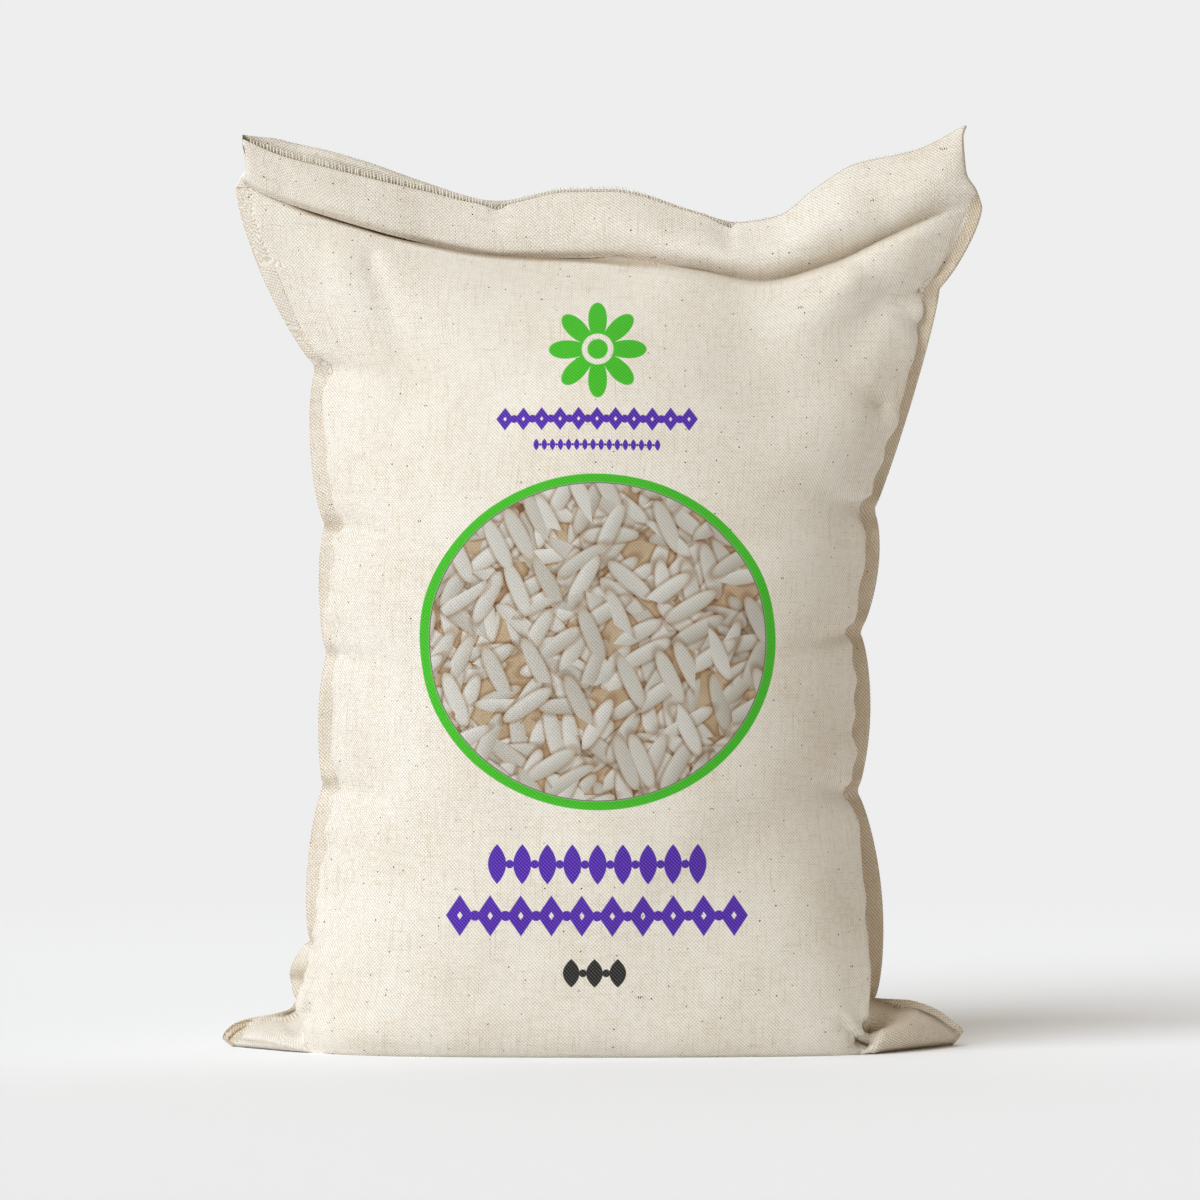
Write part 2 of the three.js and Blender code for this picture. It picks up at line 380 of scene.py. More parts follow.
    def stitched(self, x: Array, face: Face) -> Array:
        """Finds the height of the stitched edge, which stands higher on the back and has notches in front.

        Args:
            x: Places across the sack.
            face: The panel.

        Returns:
            The heights.
        """
        if face is Face.BACK:
            return self.stitch_line(x) + self.back_rise(x)
        return self.stitch_line(x) - sum(notch(x) for notch in self.notches)

    def recess(self, z: Array) -> Array:
        """How far the seam lies inside the bulge beside it."""
        return self.seam_recess * eased(6.0, 30.0, z) * (1.0 - eased(295.0, 335.0, z))

    def pucker(self, phase: float, z: Array) -> Array:
        """Finds the small gathers of the cloth along a seam.

        Args:
            phase: Where on their waves the gathers begin.
            z: Heights.

        Returns:
            How far the cloth is pushed out, from -1 to 1.
        """
        fine = np.sin(z / 2.3 + phase) * (0.6 + 0.4 * np.sin(z / 17.0 + 2 * phase))
        return (fine + 0.6 * np.sin(z / 4.3 - phase)) / 1.4

    def buckle(self, side: Side, z: Array) -> Array:
        """Finds how far a flange buckles out of the seam's plane, with a sharp wave at every tuck.

        Args:
            side: The sewn side.
            z: Heights.

        Returns:
            The buckle along y.
        """
        fade = eased(24.0, 60.0, z) * (1.0 - eased(300.0, 335.0, z))
        wave = self.flange_wave * fade * np.sin(math.tau * z / self.flange_wave_length)
        seam = self.left if side is Side.LEFT else self.right
        for tuck in seam.tucks[1:-1]:
            off = (z - tuck.height - 1.0) / self.tuck_wave_reach
            wave = wave - self.tuck_wave * off * bell(off, 1.0)
        return wave

    def ear_rise(self, r: Array) -> Array:
        """Share up the standing face of an ear, 0 where it still lies on the floor."""
        return np.clip((r - self.floor_share) / (1.0 - self.floor_share), 0.0, 1.0)

    def ear_bend(self, side: Side, r: Array) -> Array:
        """How far an ear swings back towards its tip."""
        return (self.right_ear_bend if side is Side.RIGHT else 0.0) * (1.0 - r) ** 1.5

    def shoulder(self, x: Array, z: Array) -> Array:
        """Finds how far the body swells beside the foot of the band where the band doesn't stand proud.

        Args:
            x: Places across the sack.
            z: Heights.

        Returns:
            The swell along y.
        """
        below = self.fold_line(x) - z
        curl = np.sqrt(np.clip((below + 1.2) / 5.0, 0.0, 1.0)) * bell(np.maximum(0.0, below - 4.0), 14.0)
        return mix(*self.shoulder_swell, eased(50.0, 110.0, x)) * (1.0 - self.lip(x)) * curl

    def hollow(self, x: Array, z: Array) -> Array:
        """Finds how far the front falls in under the proud edge of the band.

        Args:
            x: Places across the sack.
            z: Heights.

        Returns:
            The fall along y.
        """
        below = self.fold_line(x) - z
        soft = bell(np.maximum(0.0, below), 8.0) * sum(bump(x) for bump in self.hollow_depth)
        gap = sum(bump(x) for bump in self.hollow_gap) - 0.35
        sharp = eased(1.0, -0.2, below - gap) * self.lip(x) * eased(-140.0, -100.0, x)
        return soft + self.hollow_step * sharp

    def row_ends(self, t: Array) -> tuple[Array, Array]:
        """Finds the heights at which a row of the body meets the left and the right seam.

        Args:
            t: Shares up the body.

        Returns:
            The heights on the left and on the right.
        """
        heights = []
        for seam, level, end in ((self.left, self.seam_level[0], -140.0), (self.right, self.seam_level[1], 146.0)):
            height = mix(level, float(self.fold_line(end)), t)
            for _ in range(6):
                sewn = seam.read(height)[1] - seam.side.value * self.recess(height)
                height = mix(level, self.fold_line(sewn), t)
            heights.append(height)
        return heights[0], heights[1]

    def body(self, u: Array, t: Array, face: Face) -> Array:
        """Finds points of the filled body.

        Args:
            u: Shares across, -1 at the left seam and 1 at the right.
            t: Shares up, 0 at the floor edge and 1 under the band.
            face: The panel.

        Returns:
            Points, with the coordinates last.
        """
        low, high = self.row_ends(t)
        left = self.left.read(low)[1] + self.recess(low)
        right = self.right.read(high)[1] - self.recess(high)
        s = np.sin(0.5 * math.pi * u)
        x = mix(left, right, 0.5 * (1 + s))
        steep = (
            self.seam_level[0] * np.maximum(0.0, 1 - (1 + u) / self.ear_share)
            + self.seam_level[1] * np.maximum(0.0, 1 - (1 - u) / self.ear_share)
        )
        gentle = self.seam_level[0] * eased(0.4, -1.0, u) ** 2 + self.seam_level[1] * eased(-0.4, 1.0, u) ** 2
        fold = self.fold_line(x)
        drop = self.lip_drop * self.lip(x) * (1.0 - np.abs(s) ** 12)
        z = mix(mix(steep, gentle, eased(0.0, 0.25, t)), fold + drop, t)
        depth = self.fill_depth(z * self.fill_top / (fold + 3.0)) * (1.0 if face is Face.FRONT else self.back_scale)
        base = mix(self.squareness[0], self.squareness[1], eased(-1.0, 1.0, u))
        flattening = self.top_flattening * (1.0 - 0.6 * eased(0.1, 0.7, u))
        power = mix(base, self.wall_roundness, eased(0.0, 0.3, t)) + flattening * eased(0.55, 1.0, t)
        swell = np.maximum(0.0, 1 - s * s) ** power
        roll = bell(np.abs(u) - self.roll_place, self.roll_width)
        gather = self.gather * eased(20.0, 60.0, z) * (1.0 - eased(266.0, 296.0, z))
        out = self.recess(z) * 1.05
        x = x + np.where(
            u < 0, -roll * (self.roll[0](z) + out + gather * self.pucker(1.3, z)),
            roll * (self.roll[1](z) + out + gather * self.pucker(0.2, z)))
        wave = np.where(u < 0, self.buckle(Side.LEFT, z), self.buckle(Side.RIGHT, z))
        seam_wave = 0.5 * wave * np.abs(u) ** 14
        y = face.value * (self.cloth_half + depth * swell) + self.sway(x) * eased(0.82, 1.0, t) + seam_wave
        y = y + face.value * self.shoulder(x, z) * swell
        if face is Face.FRONT:
            y = y + self.hollow(x, z) * eased(0.8, 0.93, t)
        return np.stack(np.broadcast_arrays(x, y, z), axis=-1)

    def under(self, u: Array, r: Array, face: Face) -> Array:
        """Finds points of the base and of the two ears.

        Args:
            u: Shares across.
            r: Shares up from the bottom seam to the floor edge.
            face: The panel.

        Returns:
            Points, with the coordinates last.
        """
        own = self.body(u, np.zeros_like(r), face)
        spread = np.minimum(1.0, r / self.floor_share)
        up = self.ear_rise(r)
        result = np.stack([own[..., 0], own[..., 1] * spread, np.zeros_like(own[..., 0])], axis=-1)
        for index, side in enumerate(Side):
            foot = self.body(np.array(side.value * (1 - self.ear_share)), np.array(0.0), face)
            top = self.body(np.array(side.value), np.array(0.0), face)
            share = np.clip((1 - np.abs(u)) / self.ear_share, 0.0, 1.0)
            settle = eased(0.8, 1.0, up)
            rim_x = mix(self.rim_x[index](up) - side.value * self.ear_inset, top[0], settle)
            rim_z = mix(self.rim_z[index](up) * (1 - self.ear_drop * np.sqrt(1 - up)), top[2], settle)
            half = face.value * self.cloth_half * np.minimum(1.0, 3 * up) + self.ear_bend(side, up)
            puff = (self.ear_belly if face is Face.FRONT else 0.7 * self.ear_belly) * (4 * share * (1 - share)) ** 0.7
            belly = face.value * puff * np.sin(math.pi * up) ** 0.8
            ear = np.stack([
                mix(rim_x, foot[0], share),
                mix(half, foot[1] * spread, share) + belly,
                mix(rim_z, 0.0, share),
            ], axis=-1)
            line = np.stack([
                mix(top[0], foot[0], share), mix(top[1], foot[1], share), mix(top[2], 0.0, share)], axis=-1)
            ear = ear + up[..., None] * (own - line)
            on_ear = (side.value * u > 1 - self.ear_share)[..., None]
            result = np.where(on_ear, ear, result)
        return result

    def band(self, u: Array, h: Array, face: Face) -> Array:
        """Finds points of the closed band at the top.

        Args:
            u: Shares across.
            h: Shares up from the lower fold to the stitched edge.
            face: The panel.

        Returns:
            Points, with the coordinates last.
        """
        s = np.sin(0.5 * math.pi * u)
        open_up = eased(0.0, 0.15, h)
        left = mix(self.left.tucks[-1].seam, self.band_ends[0](h) + self.band_end, open_up)
        right = mix(self.right.tucks[-1].seam, self.band_ends[1](h) - self.band_end, open_up)
        x = mix(left, right, 0.5 * (1 + s))
        proud = self.lip(x) * (1.0 if face is Face.FRONT else 0.3)
        z = mix(self.fold_line(x) + 1.4 * (1 - proud), self.stitched(x, face), h)
        root = self.body(u, np.ones_like(h), Face.FRONT)
        bottom = np.abs(root[..., 1] - self.sway(root[..., 0])) + 0.8
        inner = np.sqrt(np.maximum(0.0, 1 - s**8))
        bottom = bottom + self.lip_out * proud * inner
        sunk = (1.0 - self.lip(x)) * inner
        bottom = bottom - np.minimum(self.band_sink, 0.55 * bottom) * sunk
        top = self.band_top_half if face is Face.FRONT else self.band_top_half - 0.6 + self.mouth(x)
        end = 0.7 * eased(0.0, 0.2, h) * np.abs(s) ** 20
        undercut = np.sin(0.5 * math.pi * np.clip(h / 0.4, 0.0, 1.0)) * (1.0 - eased(0.4, 1.0, h))
        turned = -1.6 * self.lip(x) * (1.0 - eased(0.0, 0.12, h))
        ripple = 0.7 * np.sin(x / 9.5 + 2.0 * h) * np.sin(x / 23.0 + 1.0) * eased(0.15, 0.6, h)
        dent = -self.band_dent * bell(x - 110.0 + 22.0 * (h - 0.5), 7.0) * bell(h - 0.42, 0.26)
        y = mix(bottom, top, h) + self.band_belly * np.sin(math.pi * h) + end + turned
        y = y + self.band_undercut * sunk * undercut
        y = y + (ripple + dent if face is Face.FRONT else 0.0) * (1.0 - np.abs(s) ** 8)
        y = np.maximum(y, self.cloth_half)
        return np.stack(np.broadcast_arrays(x, face.value * y + self.sway(x), z), axis=-1)

    def edge(self, part: Callable, v: Array, side: Side, face: Face) -> Array:
        """Finds the free edge of the flange beside one part of the sack.

        Args:
            part: body, under or band.
            v: Shares up that part.
            side: The sewn side.
            face: The panel.

        Returns:
            Points of the free edge.
        """
        index = 0 if side is Side.LEFT else 1
        seam = part(np.full_like(v, side.value), v, face)
        half = face.value * self.cloth_half
        lean = self.sway(np.array(side.value * 150.0))
        if part == self.under:
            up = self.ear_rise(v)
            x, z = self.rim_x[index](up), self.rim_z[index](up)
            y = half * np.minimum(1.0, 3 * up) + 1.15 * self.ear_bend(side, up)
        elif part == self.body:
            z = self.row_ends(v)[index]
            x = (self.left, self.right)[index].read(z)[0]
            y = half + self.buckle(side, z) + lean * eased(0.82, 1.0, v)
            z = seam[..., 2]
        else:
            x, z = self.band_ends[index](v), seam[..., 2]
            y = half + lean + 0.0 * v
        return np.stack(np.broadcast_arrays(x, y, z), axis=-1)


@dataclass
class Sack:
    """The sewn sack: two panels of cloth in one closed skin, with its folds and its cloth map."""

    shape: SackShape
    columns: int = 184
    flange_columns: int = 5
    under_rows: int = 25
    body_rows: int = 156
    fold_rows: int = 26
    fold_from: float = 0.965
    band_rows: int = 26
    lining_rows: int = 6
    back_crease: float = 3.6
    # tan of the flanges, listed from the seam out to the edge: the double cloth's own tone, with painted shade in the
    # crease at the left seam; on the right mostly painted shade, as that flange lies in the body's shadow
    left_hem_and_shade: tuple[float, ...] = (0.24, 0.14, 0.08, 0.07, 0.12, 0.34)
    right_hem_and_shade: tuple[float, ...] = (0.3, 0.7, 0.7, 0.7, 0.7, 1.0)
    # painted shade on the right ear, in the body's shadow, and in the hollow of the left ear's turned tip
    right_ear_painted_shade: float = 0.3
    tip_painted_shade: float = 0.8
    tip_fold: float = 3.4
    # painted shade in the deepest creases of the front
    deep_shade: float = 0.8
    ripples: int = 14
    relax_rounds: int = 300
    relax_pull: float = 0.13
    relax_reach: float = 0.5
    unprinted: float = 9.0
    creases: tuple[Crease, ...] = (
        # the tucks of the left seam
        Crease((-107, 209), (-80, 203), 3.4, -3.0),
        Crease((-107, 158), (-86, 150), 3.0, -2.4),
        Crease((-108, 105), (-84, 100), 3.2, -2.6),
        Crease((-114, 43), (-92, 46), 3.2, -2.8),
        Crease((-113, 272), (-84, 262), 4.6, -3.0),
        Crease((-120, 28), (-106, 30), 1.8, -2.0),
        # the tucks of the right seam
        Crease((106, 215), (74, 222), 4.2, -4.0),
        Crease((101, 166), (72, 160), 4.2, -3.6),
        Crease((100, 102), (70, 108), 4.6, -4.0),
        Crease((132, 303), (106, 296), 5.6, -4.2),
        Crease((112, 256), (98, 264), 5.0, -3.4, 0.1),
        Crease((126, 288), (116, 300), 4.0, -2.6, 0.1),
        # the right ear: a dark valley under its rim, a pocket and gathers at its root
        Crease((105, 11.5), (124, 16.5), 2.4, -10.0, 0.0),
        Crease((112, 17.5), (134, 10.0), 2.4, 1.6, 0.2),
        Crease((103.5, 4.0), (108, 8.0), 2.0, -8.0, 0.2),
        Crease((107, 0.5), (111, 9.0), 1.8, 1.6, 0.3),
        Crease((103, 5.0), (92, 14.0), 2.0, -6.5, 0.0),
        Crease((101, 10.0), (90, 23.0), 2.4, 2.6, 0.0),
        Crease((102, 3.0), (85, 7.0), 1.8, -4.5, 0.0),
        # the left ear: the hollow beside its curled tip, its lower lip and gathers at its root
        Crease((-146.0, 3.6), (-128.0, 1.6), 1.0, -5.5, 0.1),
        Crease((-121, 8.0), (-127, 14.0), 1.8, -3.6, 0.5),
        Crease((-117, 18.0), (-121, 10.0), 2.2, -3.0, 0.3),
        Crease((-117, 19.0), (-106, 14.0), 2.4, -2.4, 0.0),
        # broad soft valleys under the band
        Crease((-92, 314), (-72, 258), 6.0, -2.5, 0.5),
        Crease((-105, 314), (-86, 262), 8.0, 1.8, 0.4),
        Crease((112, 300), (86, 252), 10.0, -2.8, 0.2),
        Crease((98, 306), (66, 276), 9.0, 2.6, 0.2),
    )

    def in_slot(self, points: Array) -> Array:
        """Finds the painted brown shade of the lining down between the two layers at the top, where shadow falls.

        Args:
            points: Points of the lining.

        Returns:
            Shares, most at the open left corner.
        """
        x, z = points[..., 0], points[..., 2]
        far = 0.45 + 0.55 * eased(-116.0, -136.0, x) - 0.15 * eased(-75.0, -40.0, x)
        return np.clip((self.shape.stitch_line(x) + 2.8 - z) / 2.4, 0.0, 1.0) * far

    def under_lip(self, points: Array) -> Array:
        """Finds the painted brown shadow of the front along the fold at the foot of the band: under its proud lip and
        on its lower, downward-facing rows.

        Args:
            points: The front panel.

        Returns:
            Shares by row and column, 0 away from the fold.
        """
        below = self.shape.fold_line(points[..., 0]) - points[..., 2]
        along = eased(-138.0, -112.0, points[..., 0]) * (1.0 - eased(128.0, 142.0, points[..., 0]))
        lip = self.shape.lip(points[..., 0])
        body = 0.75 * lip * eased(2.4, 0.6, below) + 0.22 * (1.0 - lip) * eased(1.6, -0.4, below)
        band = eased(-mix(9.0, 5.0, lip), 0.0, below) * mix(0.40, 0.26, lip)
        row = np.arange(len(points))[:, None] - self.under_rows
        return along * np.where(row > self.body_rows, band, np.where(row > 0, body, 0.0))

    def shade(self, points: Array, lift: Array, face: Face) -> Array:
        """Finds the painted brown shade of a panel: between the layers at the top, along the fold under the band and
        in the deepest creases.

        Args:
            points: The smooth panel.
            lift: How far its creases move each point.
            face: The panel.

        Returns:
            Shares by row and column.
        """
        shade = np.zeros(lift.shape)
        if face is Face.FRONT:
            shade = self.under_lip(points)
        shade[-self.lining_rows:] = self.in_slot(points[-self.lining_rows:])
        if face is Face.FRONT:
            # painted shade in the deepest valleys of the front
            shade = np.maximum(shade, self.deep_shade * eased(-3.4, -8.0, lift))
        return shade

    def tan(self, points: Array) -> Array:
        """Finds the tan tone of the flanges' double cloth, darker at the left flange's edge, with painted shade: in
        the crease at the left seam, over most of the right flange and the right ear, which lie in the body's shadow,
        and in the hollow of the turned-in tip of the left ear.

        Args:
            points: The smooth panel.

        Returns:
            Shares by row and column.
        """
        tan = np.zeros(points.shape[:2])
        width = self.flange_columns + 1
        tan[:, :width] = self.left_hem_and_shade[::-1]
        tan[self.under_rows - 2:, -width:] = self.right_hem_and_shade
        ears = slice(0, self.under_rows + 1)
        x, z = points[ears, :, 0], points[ears, :, 2]
        # painted shade on the right ear and in the hollow of the turned tip
        on_ears = np.maximum(self.right_ear_painted_shade * eased(100.0, 112.0, x), self.tip_painted_shade * self.turned_tip(x, z))
        tan[ears] = np.maximum(tan[ears], on_ears)
        return tan

    def panel(self, face: Face) -> Array:
        """Lays out one panel, from the seam under the base up to the stitched edge.

        Args:
            face: The panel.

        Returns:
            Points by row and column.
        """
        shape = self.shape
        u = np.linspace(-1.0, 1.0, self.columns + 1)[None, :]
        parts = (
            (shape.under, np.linspace(0.0, 1.0, self.under_rows + 1)[:-1]),
            (shape.body, np.concatenate([
                self.fold_from * np.linspace(0.0, 1.0, self.body_rows - self.fold_rows + 1) ** 1.1,
                np.linspace(self.fold_from, 1.0, self.fold_rows + 1)[1:]])),
            (shape.band, np.linspace(0.0, 1.0, self.band_rows + 1) ** 1.3),
        )
        rows = []
        for part, steps in parts:
            v = steps[:, None]
            size = (len(steps), u.shape[1])
            inner = part(np.broadcast_to(u, size), np.broadcast_to(v, size), face)
            shares = np.linspace(0.0, 1.0, self.flange_columns + 1)[1:]
            left = shape.edge(part, steps, Side.LEFT, face)[:, None, :]
            right = shape.edge(part, steps, Side.RIGHT, face)[:, None, :]
            fan = shares[None, :, None]
            rows.append(np.concatenate([
                mix(inner[:, :1], left, fan)[:, ::-1], inner, mix(inner[:, -1:], right, fan)], axis=1))
        top = rows[-1]
        rim = top[-1]
        depth = shape.slot_depth * np.sqrt(np.maximum(0.0, 1.0 - np.abs(np.linspace(-1.0, 1.0, len(rim))) ** 12))
        depth = depth * (1.0 - 0.8 * eased(50.0, 90.0, rim[:, 0]))
        if face is Face.BACK:
            depth = depth + shape.back_rise(rim[:, 0])
        for share in np.linspace(0.0, 1.0, self.lining_rows):
            inner = rim.copy()
            inner[:, 2] += 0.25 * (share == 0.0) - share * depth
            inner[:, 1] = [np.interp(point[2], top[:, j, 2], top[:, j, 1]) for j, point in enumerate(inner)]
            layer = np.minimum(shape.layer, 0.5 * np.abs(inner[:, 1] - shape.sway(inner[:, 0])))
            inner[:, 1] -= face.value * layer * (0.5 + 0.5 * min(1.0, 3 * share))
            rows.append(inner[None])
        return np.concatenate(rows, axis=0)

    def turned_tip(self, x: Array, z: Array) -> Array:
        """Share by which a point lies on the turned-in tip of the left ear."""
        return eased(0.0, 1.2, -146.4 + 0.78 * (z - 2.5) - x) * eased(15.0, 12.5, z)

    def unevenness(self, x: Array, z: Array, face: Face) -> Array:
        """Finds the slight unevenness of a panel from scattered long ripples.

        Args:
            x: Places across the sack.
            z: Heights.
            face: The panel.

        Returns:
            Millimetres along the cloth's normal.
        """
        rng = np.random.default_rng(5 if face is Face.FRONT else 6)
        lift = 0.0
        for _ in range(self.ripples):
            angle, wave = rng.uniform(0, math.tau), rng.uniform(26, 70)
            phase, high = rng.uniform(0, math.tau), rng.uniform(0.10, 0.22)
            lift = lift + high * np.sin((x * math.cos(angle) + z * math.sin(angle)) * math.tau / wave + phase)
        return lift

    def loose(self, rows: int, columns: int) -> Array:
        """Finds where folds may move the cloth: on the filled body, on the band and on the standing ears.

        Args:
            rows: How many rows the panel has.
            columns: How many columns it has.

        Returns:
            Shares by row and column, 0 on the flanges, on the floor and in the lining at the top.
        """
        row, column, last = np.arange(rows), np.arange(columns), columns - 1
        first, top = self.under_rows, self.under_rows + self.body_rows
        edge = np.minimum(column, last - column)
        inside = eased(self.flange_columns - 1, self.flange_columns + 7, edge)
        rising = eased(first, first + 8, row) * (1 - 0.7 * eased(top - 8, top - 1, row))
        rising = rising * (row < top + self.band_rows - 3)
        foot = 0.5 * self.columns * (1 - self.shape.ear_share)
        outer = eased(foot - 14, foot, np.abs(column - 0.5 * last)) * eased(0, 3, edge)
        standing = self.shape.ear_rise(np.minimum(1.0, row / first)) ** 0.5 * (1.0 - eased(first, first + 10, row))
        return np.maximum(standing[:, None] * outer, rising[:, None] * inside)

    def folded(self, points: Array, face: Face) -> tuple[Array, Array]:
        """Moves a panel's points along its normal by its creases and its slight unevenness.

        Args:
            points: The smooth panel.
            face: The panel.

        Returns:
            The folded panel, and how far each point moved.
        """
        across = np.gradient(points, axis=1)
        up = np.gradient(points, axis=0)
        normal = np.cross(across, up) * (-face.value)
        normal /= np.maximum(np.linalg.norm(normal, axis=-1, keepdims=True), 1e-9)
        x, z = points[..., 0], points[..., 2]
        turned = x if face is Face.FRONT else -x
        lift = sum(crease.lift(turned, z) for crease in self.creases)
        if face is Face.BACK:
            lift = np.maximum(lift, -self.back_crease)
        lift = lift - self.tip_fold * self.turned_tip(turned, z) + self.unevenness(x, z, face)
        lift = lift * self.loose(*lift.shape)
        moved = points + normal * lift[..., None]
        moved[..., 2] = np.maximum(moved[..., 2], 0.0)
        return moved, lift

    def cloth_map(self, points: Array) -> Array:
        """Lays a panel out flat, so that neighbours keep their distance along the cloth.

        Args:
            points: The smooth panel.

        Returns:
            Places on the flat cloth by row and column, in metres.
        """
        step = np.diff(points, axis=1)
        across = np.cumsum(np.hypot(step[..., 0], step[..., 1]), axis=1)
        across = np.concatenate([np.zeros((len(points), 1)), across], axis=1)
        step = np.diff(points, axis=0)
        up = np.cumsum(np.hypot(step[..., 1], step[..., 2]), axis=0)
        up = np.concatenate([np.zeros((1, points.shape[1])), up], axis=0)
        floor_edge = self.under_rows
        across = across - across[:, points.shape[1] // 2][:, None]
        flat = np.stack([across, up - up[floor_edge] + points[floor_edge, :, 2]], axis=-1)
        pairs = []
        for down, along in ((0, 1), (1, 0), (1, 1), (1, -1)):
            first = (slice(0, len(points) - down), slice(max(0, -along), points.shape[1] - max(0, along)))
            second = (slice(down, None), slice(max(0, along), points.shape[1] + min(0, along)))
            pairs.append((first, second, np.linalg.norm(points[second] - points[first], axis=-1)))
        for _ in range(self.relax_rounds):
            move = np.zeros_like(flat)
            for first, second, length in pairs:
                gap = flat[second] - flat[first]
                now = np.maximum(np.sqrt((gap * gap).sum(axis=-1)), 1e-3)
                pull = gap * (self.relax_pull * (1.0 - length / now))[..., None]
                move[first] += pull
                move[second] -= pull
            flat += np.clip(move, -self.relax_reach, self.relax_reach)
        return flat * MM

    def build(self, material: bpy.types.Material) -> bpy.types.Object:
        """Sews the panels into one closed skin.

        Args:
            material: The printed cloth.

        Returns:
            The sack.
        """
        bm = bmesh.new()
        maps = [bm.loops.layers.uv.new(name) for name in ("cloth", "print", "hem_tone_and_shade")]
        shift = Vector((*self.shape.centring, 0.0))
        grids = []
        for face in Face:
            smooth = self.panel(face)
            folded, lift = self.folded(smooth, face)
            rows, columns = lift.shape
            made = bmesh.ops.create_grid(bm, x_segments=columns - 1, y_segments=rows - 1, size=1.0)["verts"]
            ordered = sorted(made, key=lambda vert: (round(vert.co.y * rows), round(vert.co.x * columns)))
            place = {vert: divmod(index, columns) for index, vert in enumerate(ordered)}
            for vert, spot in place.items():
                vert.co = (Vector(folded[spot]) + shift) * MM
            layouts = (
                self.cloth_map(smooth) + (face.value * 0.5, 0.0),
                smooth[..., ::2] * MM if face is Face.FRONT else np.full((rows, columns, 2), self.unprinted),
                # third map: the flanges' tan with painted shade, and painted shade alone
                np.stack([self.tan(smooth), self.shade(smooth, lift, face)], axis=-1),
            )
            for item in {item for vert in made for item in vert.link_faces}:
                for loop in item.loops:
                    for layer, layout in zip(maps, layouts):
                        loop[layer].uv = layout[place[loop.vert]]
                if face is Face.BACK:
                    item.normal_flip()
            grids.append([ordered[i * columns:(i + 1) * columns] for i in range(rows)])
        self.sew(bm, grids)
        bmesh.ops.remove_doubles(bm, verts=bm.verts[:], dist=2e-6)
        bmesh.ops.recalc_face_normals(bm, faces=bm.faces[:])
        piece = Piece.finish("sewn_sack", bm, material)
        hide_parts("bag")
        return piece

    def sew(self, bm: bmesh.types.BMesh, grids: list) -> None:
        """Joins the free edges of the two panels along both sides and across the top.

        Args:
            bm: The mesh that holds both panels.
            grids: The vertices of the front and the back panel, by row.
        """
        front, back = grids

        def strip(first: list, second: list) -> None:
            """Fills the gap between two rows of vertices."""
            for a, b, c, d in zip(first, first[1:], second[1:], second):
                bm.faces.new((a, b, c, d))

        strip([row[0] for row in front], [row[0] for row in back])
        strip([row[-1] for row in front], [row[-1] for row in back])
        strip(front[-1], back[-1])


@dataclass
class Fringe:
    """The frayed threads of the closing edge, which stand up between the two layers of the band."""

    shape: SackShape
    span: tuple[float, float] = (-140.0, 130.0)
    pitch: float = 1.3
    radius: float = 0.4
    taper: float = 0.6
    root_depth: float = 2.0
    heights: Curve = Curve((
        (-142, 1.6), (-122, 3.2), (-62, 3.0), (-42, 2.0), (0, 2.4), (30, 1.5), (60, 1.0), (90, 0.8), (122, 1.2),
        (131, 0.4)))

    def build(self, material: bpy.types.Material) -> bpy.types.Object:
        """Stands one short tapered thread at every pitch along the edge.

        Args:
            material: The thread's finish.

        Returns:
            The fringe.
        """
        rng = np.random.default_rng(11)
        bm = bmesh.new()
        shift = Vector((*self.shape.centring, 0.0))
        for x in np.arange(*self.span, self.pitch):
            height = float(self.heights(x)) * rng.uniform(0.9, 1.06)
            edge = float(self.shape.stitched(x, Face.FRONT))
            foot = Vector((x, float(self.shape.sway(x)) - 0.8, edge - self.root_depth))
            lean = Vector((rng.uniform(-0.12, 0.05), rng.uniform(-0.10, 0.02), 1.0)).normalized()
            length = height + self.root_depth
            turn = lean.to_track_quat("Z", "Y").to_matrix().to_4x4()
            middle = Matrix.Translation((foot + lean * (0.5 * length) + shift) * MM)
            bmesh.ops.create_cone(
                bm, segments=6, cap_ends=True, radius1=self.radius * MM, radius2=self.taper * self.radius * MM,
                depth=length * MM, matrix=middle @ turn)
        return Piece.finish("fringe", bm, material)


